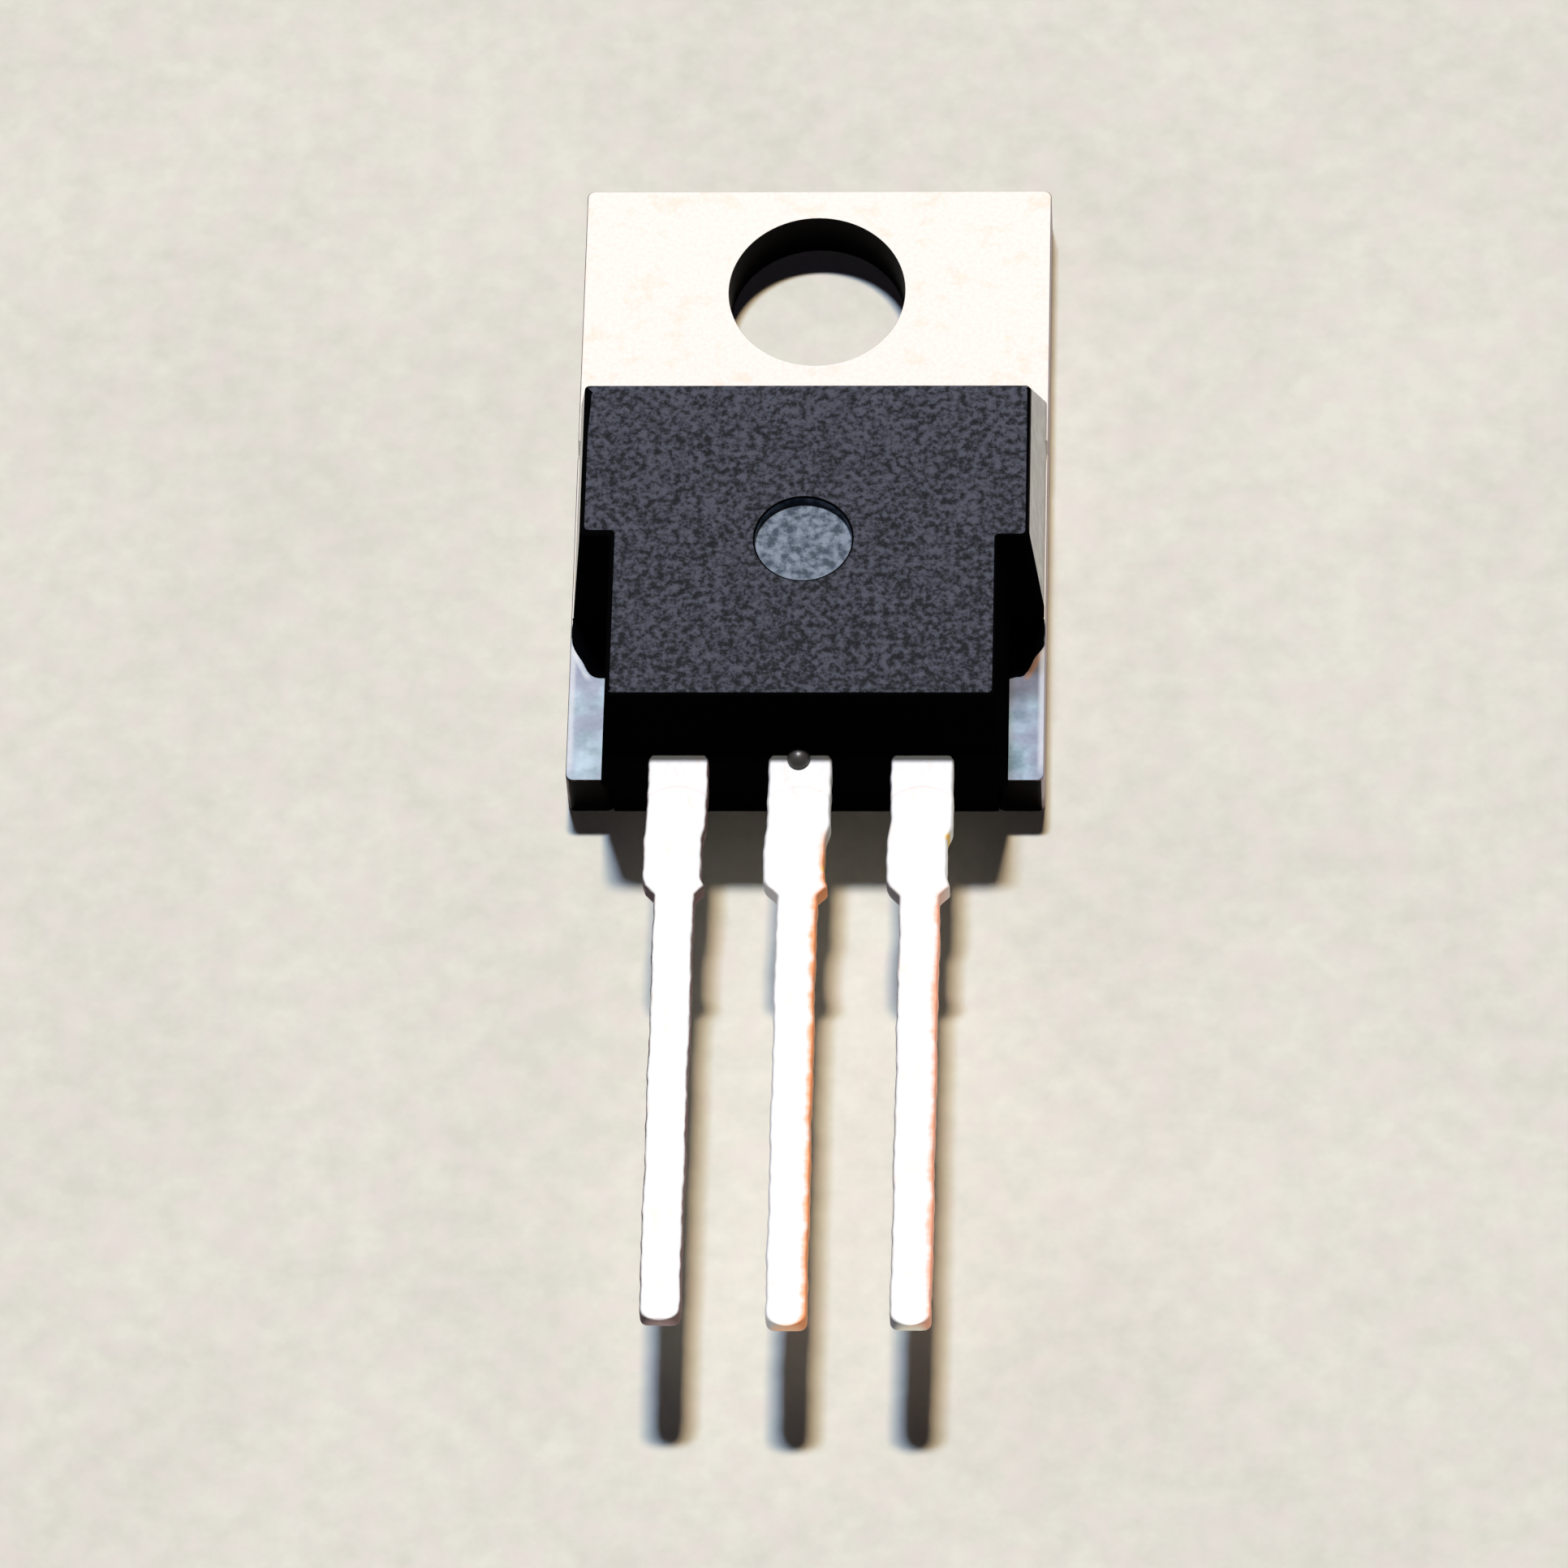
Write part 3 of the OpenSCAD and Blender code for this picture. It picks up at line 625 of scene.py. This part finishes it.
def platedTab(tree):
    # Tin with faint warm patches, and on the ears two mottled greys with lilac patches, painted shade over
    # the upper part of the right ear, a painted coloured penumbra along the rim of the shadow sheet and a
    # pale strip along the outer edge
    s, k, p = tabLook, shadowSheetSize, earSpots
    x, y = place(tree, "X"), place(tree, "Y")
    away = sums(tree, "ABSOLUTE", x)
    right = spread(tree, x, -0.5, 0.5)
    fine = grain(tree, 11.0, 3.0, 0.6)
    tin = mixed(tree, ramp(tree, grain(tree, 1.5, 5.0, 0.62), (0.54, 0.0), (0.70, 0.7)), s["tin"], s["blush"])
    mottle = ramp(tree, grain(tree, 2.2, 3.0, 0.5), (0.36, 0.0), (0.64, 1.0))
    ear = mixed(tree, right, mixed(tree, mottle, s["earLeft"], s["earLeftDark"]),
                mixed(tree, mottle, s["earRight"], s["earRightDark"]))
    lilac = ramp(tree, grain(tree, 1.4, 2.0, 0.5, shift=4.0), (0.42, 0.0), (0.62, 0.6))
    ear = mixed(tree, lilac, ear, s["lilac"])
    out = sums(tree, "SUBTRACT", sums(tree, "MULTIPLY", away, k["rimX"]),
               sums(tree, "MULTIPLY_ADD", y, k["rimY"], k["rimOut"]))
    # Painted penumbra: a coloured fringe along the slanted rim of the body's shadow, pale on the left ear and
    # warm on the right
    streak = sums(tree, "MULTIPLY", between(tree, out, *p["streakOut"], 0.03),
                  between(tree, y, *p["streak"], 0.08))
    # Painted shade on the upper part of the right ear, next to the body's shadow
    bodyShade = sums(tree, "MULTIPLY", between(tree, y, *p["bodyShade"], 0.25), sums(tree, "MULTIPLY", right, 0.75))
    ear = mixed(tree, bodyShade, ear, s["bodyShade"])
    ear = mixed(tree, streak, ear, mixed(tree, right, s["pale"], s["warmFringe"]))
    strip = sums(tree, "MULTIPLY", between(tree, away, *p["stripX"], 0.04),
                 between(tree, y, *p["strip"], 0.2))
    ear = mixed(tree, sums(tree, "MULTIPLY", strip, 0.75), ear, s["pale"])
    isEar = between(tree, y, *p["ear"], 0.05)
    rough = sums(tree, "MULTIPLY_ADD", isEar, 0.04, spread(tree, fine, 0.0, 1.0, 0.76, 0.84))
    return {"Base Color": mixed(tree, isEar, tin, ear), "Roughness": rough,
            "Normal": raised(tree, fine, 0.004)}


def shearedEdge(tree):
    # Dark metal, partly its own oxide and partly darkened into painted shade, with worn streaks up its
    # height, torn and rougher near the lower face. The right edge is paler, with a violet tinge: painted
    # reflection of the floor beside it
    s = tabLook
    streak = grain(tree, 3.0, 3.0, 0.65, stretch=(1, 1, 0.3))
    torn = spread(tree, place(tree, "Z"), 0.36, 0.48, 1.0, 0.0)
    colour = mixed(tree, ramp(tree, streak, (0.5, 0.0), (0.7, 1.0)), s["sheared"], s["worn"])
    colour = mixed(tree, spread(tree, place(tree, "X"), 4.9, 5.02, 0.0, 0.75), colour, s["rightEdgeSheen"])
    rough = sums(tree, "MULTIPLY_ADD", torn, 0.25, 0.4)
    return {"Base Color": colour, "Roughness": rough, "Normal": raised(tree, streak, 0.01)}


def shadedMetal(tree):
    # Nearly black metal with streaks up its height: painted shade on the hole's wall, the ears' ends and the
    # gap between the ears
    streak = grain(tree, 8.0, 3.0, 0.6, stretch=(1, 1, 0.2))
    return {"Base Color": mixed(tree, streak, tabLook["bore"], (0.007, 0.005, 0.005)),
            "Normal": raised(tree, streak, 0.006)}


tabFinishes = [finish("platedTab", platedTab, Metallic=1.0), finish("shearedEdge", shearedEdge, Metallic=1.0),
               finish("shadedMetal", shadedMetal, Metallic=1.0, Roughness=0.6)]
rings, bands = tabRings()
standFor(shellMesh("tabPlate", rings, tabFinishes, bands, joined=True), "heat_sink_tab")
print("tab made")


# Leads

leadSize = dict(pitch=2.54, thick=0.46, lowZ=2.46, rootHalf=0.635, pinHalf=0.425, endY=-12.81,
                tipY=-26.37, shoulderY=-16.07, shoulderL=0.22, tipR=0.3, nickLow=-15.95, nickL=1.25,
                nickD=0.02, nickShift=0.07, postLow=-12.11, postL=1.5, postHalf=1.05, postShift=0.35,
                rollR=0.06, dipY=-13.85, dipBow=0.25, dipThick=0.014, dipRim=0.010, rootY=-12.79,
                rootR=0.14)
leadLook = dict(tin=(0.81, 0.82, 0.825), blush=(0.83, 0.76, 0.70), line=(0.84, 0.70, 0.62),
                gold=(0.90, 0.60, 0.12), goldSize=0.06)


def sectionPoints(across=13, tall=5, arc=5):
    # A round cornered rectangle: each point is a share (a, b) of the half sizes and a share (c, d) of the
    # corner's radius
    turn = np.linspace(0, math.pi / 2, arc)
    flat, rise = np.linspace(-1, 1, across + 2)[1:-1], np.linspace(-1, 1, tall + 2)[1:-1]
    one = np.ones
    a = np.concatenate([one(arc), flat[::-1], -one(arc), -one(tall), -one(arc), flat, one(arc), one(tall)])
    b = np.concatenate([one(arc), one(across), one(arc), rise[::-1], -one(arc), -one(across), -one(arc),
                        rise])
    c = np.concatenate([np.cos(turn), 0 * flat, -np.sin(turn), -one(tall), -np.cos(turn), 0 * flat,
                        np.sin(turn), one(tall)])
    d = np.concatenate([np.sin(turn), one(across), np.cos(turn), 0 * rise, -np.sin(turn), -one(across),
                        -np.cos(turn), 0 * rise])
    return a, b, c, d


def bladeStations():
    # Places along a lead from its root to its tip, close together at the nicks, the shoulder and the tip
    s = leadSize
    turn = np.linspace(0, math.pi / 2, 9)
    nickHigh, pinTop = s["nickLow"] + s["nickL"], s["shoulderY"] - s["shoulderL"]
    return np.concatenate([
        np.linspace(s["endY"] + 0.1, s["endY"] - 0.2, 4), np.linspace(s["endY"] - 0.3, nickHigh + 0.15, 30),
        np.linspace(nickHigh + 0.1, nickHigh, 4), np.linspace(nickHigh - 0.08, s["nickLow"] + 0.08, 16),
        np.linspace(s["nickLow"], s["nickLow"] - 0.1, 4), np.linspace(s["shoulderY"], pinTop, 7),
        np.linspace(pinTop - 0.1, s["tipY"] + s["tipR"] + 0.05, 110),
        s["tipY"] + s["tipR"] * (1 - np.sin(turn)) * 0.98 + s["tipR"] * 0.004])


def ripple(y, phase):
    # Uneven edge left by shearing: three sines that don't repeat together
    slow = np.sin(y * 4.1 + 3.1 * phase) * 0.5
    return np.sin(y * 9.3 + phase) * 0.45 + np.sin(y * 15.7 + 2.3 * phase) * 0.35 + slow


def bladeEdges(y, look):
    # Left and right edge from the lead's axis: wide root, straight shoulder, narrow pin with a quarter circle
    # at each tip corner and each root corner. Along the cut bar both edges step in by nickD and aside by
    # nickShift
    s = leadSize
    nickHigh = s["nickLow"] + s["nickL"]
    high = s["shoulderY"] + look["high"]
    half = np.interp(y, [high - s["shoulderL"], high], [s["pinHalf"], s["rootHalf"]])
    left = np.clip(s["tipR"] - (y - s["tipY"]), 0, s["tipR"])
    half = half - (s["tipR"] - np.sqrt(s["tipR"] ** 2 - left ** 2))
    cut = smoothStep((nickHigh + 0.2 - y) / 0.4) * smoothStep((y - s["nickLow"] + 0.1) / 0.25)
    near = np.clip(s["rootR"] - (s["rootY"] - y), 0, s["rootR"]) * (y > s["rootY"] - s["rootR"])
    half = half - (s["rootR"] - np.sqrt(s["rootR"] ** 2 - near ** 2))
    half = half + look["wide"] * smoothStep((y - high) / 0.1)
    run = np.clip((s["endY"] - y) / (s["endY"] - s["tipY"]), 0, 1)
    centre = look["aside"] - cut * s["nickShift"] + look["sway"] * run ** 1.5
    centre = centre + 0.008 * np.sin(y * 1.9 + look["phase"]) * smoothStep(run * 8)
    rough = look["rough"] * smoothStep(run * 25) * smoothStep((y - s["tipY"]) / 0.5)
    return (centre - half + cut * s["nickD"] + rough * ripple(y, look["phase"]),
            centre + half - cut * s["nickD"] + rough * ripple(y, look["phase"] + 2.0))


def carry(left, right, y, z, lean, thick, roll, coat):
    # Carries the section along a path in the YZ plane: left and right edge across, thickness along the path's
    # normal, which leans from upright by an angle, and a thin coat that lies on the upper face
    a, b, c, d = sectionPoints()
    cols = [np.asarray(v, float)[:, None] for v in (left, right, y, z, lean, thick, roll)]
    left, right, y, z, lean, thick, roll = cols
    middle, half = (left + right) / 2, (right - left) / 2
    across = middle + a * (half - roll) + c * roll
    up = b * (thick / 2 - roll) + d * roll
    up = up + coat(across - middle, y) * (b > 0) * np.clip(d, 0, 1)
    rings = np.stack([across, y + up * np.sin(lean), z + up * np.cos(lean)], 2)
    return rings, dict(fromLeft=across - left, fromRight=right - across)


def dipCoat(across, y):
    # The dipped tin ends in a bowed line across the lead, with a fuller rim
    s = leadSize
    line = s["dipY"] + s["dipBow"] * (1 - (across / s["rootHalf"]) ** 2)
    gone = (y - line) / 0.05
    return s["dipThick"] * (1 - smoothStep(gone + 0.5)) + s["dipRim"] * np.exp(-((gone + 1.2) / 1.2) ** 2)


def webPath():
    # Middle line of the thin web from its root in the tab up to the lead, flat pieces joined by round bends
    y = np.array([-10.54, -10.56, -11.04, -11.12, -11.2, -11.26, -11.74, -11.8, -11.88, -11.97, -12.36,
                  -12.37, -12.6])
    z = np.array([1.04, 1.04, 1.04, 1.06, 1.13, 1.22, 2.5, 2.59, 2.66, 2.69, 2.69, 2.69, 2.69])
    half = np.array([1.07] + [1.1] * 10 + [leadSize["rootHalf"]] * 2)
    return y, z, half, -np.arctan(np.gradient(z, y))


def leadRings(look):
    # Root end, bond post or web, blade, then the rounded end face
    s = leadSize
    side = look["side"]
    turn = np.linspace(0, math.pi / 2, 7)
    blade = bladeStations()
    ends = s["tipY"] + look["endR"] * (1 - np.sin(turn))
    blade = blade[blade > s["tipY"] + look["endR"] + 0.01]
    shrink = look["endR"] * (1 - np.cos(turn))
    midZ = s["lowZ"] + s["thick"] / 2
    if side:
        postHigh = s["postLow"] + s["postL"]
        headY = np.concatenate([[postHigh, postHigh, postHigh - 0.02],
                                np.linspace(postHigh - 0.1, s["postLow"] + 0.02, 8),
                                [s["postLow"], s["postLow"] - 0.01, s["postLow"] - 0.3]])
        headHalf = np.concatenate([[s["postHalf"] - 0.03], np.full(11, s["postHalf"]), [s["rootHalf"]] * 2])
        headX = np.concatenate([np.full(12, side * s["postShift"]), np.zeros(2)])
        headZ, lean = np.full(14, midZ), np.zeros(14)
    else:
        headY, headZ, headHalf, lean = webPath()
        headX = np.zeros(len(headY))
    y = np.concatenate([blade, ends])
    left, right = bladeEdges(y, look)
    tail = np.concatenate([np.zeros(len(blade)), shrink * 0.5])
    left = np.concatenate([headX - headHalf, left + tail]) + side * s["pitch"]
    right = np.concatenate([headX + headHalf, right - tail]) + side * s["pitch"]
    thick = np.concatenate([np.full(len(headY) + len(blade), s["thick"]), s["thick"] - 2 * shrink])
    roll = np.minimum(s["rollR"], thick / 2 - 0.01)
    lean = np.concatenate([lean, np.zeros(len(y))])
    # The cut slants in under the tip, so the end's rings rise as they shrink
    z = np.concatenate([headZ, np.full(len(blade), midZ), midZ + 0.9 * shrink])
    y = np.concatenate([headY, y])
    run = np.clip((s["endY"] - y) / (s["endY"] - s["tipY"]), 0, 1)
    z = z + 0.006 * np.sin(y * 1.1 + look["phase"]) * smoothStep(run * 5)
    return carry(left, right, y + look["short"] * run, z, lean, thick, roll, dipCoat)


def dippedLead(look):
    # Dipped tin with painted light and shade along its sheared edges, warm light on the right edges, shade on
    # the left edges of the gate and source leads and pale cool light on the drain lead's, gold spots where
    # the cut bar tore, and painted light and shade on the cut end
    def build(tree):
        s = leadSize
        g = leadLook
        y = place(tree, "Y")
        fine = grain(tree, 9.0, 3.0, 0.6, stretch=(1, 0.4, 1))
        blotch = ramp(tree, grain(tree, 2.4, 4.0, 0.6, stretch=(1, 0.5, 1)), (0.54, 0.0), (0.7, 0.6))
        colour = mixed(tree, blotch, g["tin"], g["blush"])
        uneven = grain(tree, 1.7, 3.0, 0.65, stretch=(0.3, 1, 1), shift=look["phase"])
        for key in ("left", "right"):
            edgeShading, wide, start = look[key]
            gone = sums(tree, "DIVIDE", mark(tree, "from" + key.capitalize()), wide)
            gone = sums(tree, "ADD", gone, spread(tree, uneven, 0.3, 0.7, 0.5, -0.5))
            share = sums(tree, "MULTIPLY", spread(tree, gone, 0.2, 1.1, 1.0, 0.0),
                         spread(tree, y, start - 0.6, start, 1.0, 0.0))
            colour = mixed(tree, share, colour, edgeShading)
        # The bowed line where the dip ended
        across = sums(tree, "SUBTRACT", mark(tree, "fromRight"), s["rootHalf"])
        bow = sums(tree, "MULTIPLY", sums(tree, "POWER", sums(tree, "ABSOLUTE", across), 2.0),
                   s["dipBow"] / s["rootHalf"] ** 2)
        over = sums(tree, "ADD", sums(tree, "SUBTRACT", y, s["dipY"] + s["dipBow"]), bow)
        colour = mixed(tree, sums(tree, "MULTIPLY", between(tree, over, -0.02, 0.03, 0.03), look["dipLine"]),
                       colour, g["line"])
        if look["spotY"]:
            size = g["goldSize"]
            spot = sums(tree, "MULTIPLY", between(tree, y, look["spotY"] - size, look["spotY"] + size),
                        spread(tree, mark(tree, "fromRight"), 0.02, 0.09, 1.0, 0.0))
            colour = mixed(tree, spot, colour, g["gold"])
        # Painted light and shade on the cut end, which faces away from the lamps, more of it towards the
        # lower face
        tipEnd = s["tipY"] + look["short"]
        down = sums(tree, "ADD", spread(tree, y, tipEnd + 0.01, tipEnd + 0.12, 1.0, 0.0),
                    spread(tree, place(tree, "Z"), s["lowZ"] + 0.1, s["lowZ"] + s["thick"], 0.3, -0.3))
        colour = mixed(tree, spread(tree, down, 0.2, 1.0), colour, look["end"])
        return {"Base Color": colour, "Roughness": spread(tree, fine, 0.0, 1.0, 0.76, 0.84),
                "Normal": raised(tree, fine, 0.005)}
    return build


# left and right: painted light and shade along each lead's edges, with its colour, width and where it starts;
# end: painted light and shade on the cut end
leadLooks = {
    "gateLead": dict(side=-1, node="gate_lead", aside=-0.045, sway=-0.03, phase=0.3, short=0.02,
                     left=((0.12, 0.08, 0.10), 0.03, -12.0), right=((0.30, 0.20, 0.20), 0.03, -12.0),
                     end=(0.50, 0.38, 0.39), endR=0.2, high=0.06, wide=0.0, spotY=0.0, dipLine=0.3,
                     rough=0.011),
    "drainLead": dict(side=0, node="heat_sink_tab", aside=-0.02, sway=0.0, phase=1.7, short=-0.10,
                      left=((0.70, 0.71, 0.76), 0.03, -12.0), right=((0.92, 0.46, 0.24), 0.13, -14.6),
                      end=(1.0, 0.70, 0.50), endR=0.21, high=0.06, wide=0.03, spotY=-15.60, dipLine=0.15,
                      rough=0.013),
    "sourceLead": dict(side=1, node="source_lead", aside=0.015, sway=-0.02, phase=3.1, short=-0.08,
                       left=((0.30, 0.30, 0.36), 0.02, -12.0), right=((0.92, 0.52, 0.38), 0.13, -15.9),
                       end=(1.0, 0.98, 0.90), endR=0.21, high=0.06, wide=0.025, spotY=-14.80, dipLine=0.3,
                       rough=0.012)}
for name, look in leadLooks.items():
    rings, marks = leadRings(look)
    leadFinish = finish(name + "Tin", dippedLead(look), Metallic=1.0)
    standFor(shellMesh(name, rings, [leadFinish], marks=marks), look["node"])
print("leads made")


# Pieces sealed in the body keep their solids and get their own finishes

def siliconFinish(tree):
    # Noise between two blue greys
    return {"Base Color": mixed(tree, grain(tree, 3.0), (0.22, 0.23, 0.26), (0.32, 0.33, 0.37))}


def solderFinish(tree):
    # Noise between two plain greys
    fine = grain(tree, 8.0)
    return {"Base Color": mixed(tree, fine, (0.42, 0.42, 0.43), (0.55, 0.55, 0.56)),
            "Normal": raised(tree, fine, 0.004)}


def wireFinish(tree):
    # Fine noise between two pale greys
    fine = grain(tree, 20.0)
    return {"Base Color": mixed(tree, fine, (0.78, 0.78, 0.8), (0.9, 0.9, 0.91)),
            "Normal": raised(tree, fine, 0.002)}


bondFinish = finish("bondWire", wireFinish, Metallic=1.0, Roughness=0.35)
innerFinishes = {"silicon_die": finish("siliconDie", siliconFinish, Metallic=0.6, Roughness=0.25),
                 "die_attach_solder": finish("dieSolder", solderFinish, Metallic=1.0, Roughness=0.45),
                 "gate_bond_wire": bondFinish, "source_bond_wire_1": bondFinish,
                 "source_bond_wire_2": bondFinish}
for name, material in innerFinishes.items():
    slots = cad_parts[name].data.materials
    slots.clear()
    slots.append(material)
print("inner pieces finished")
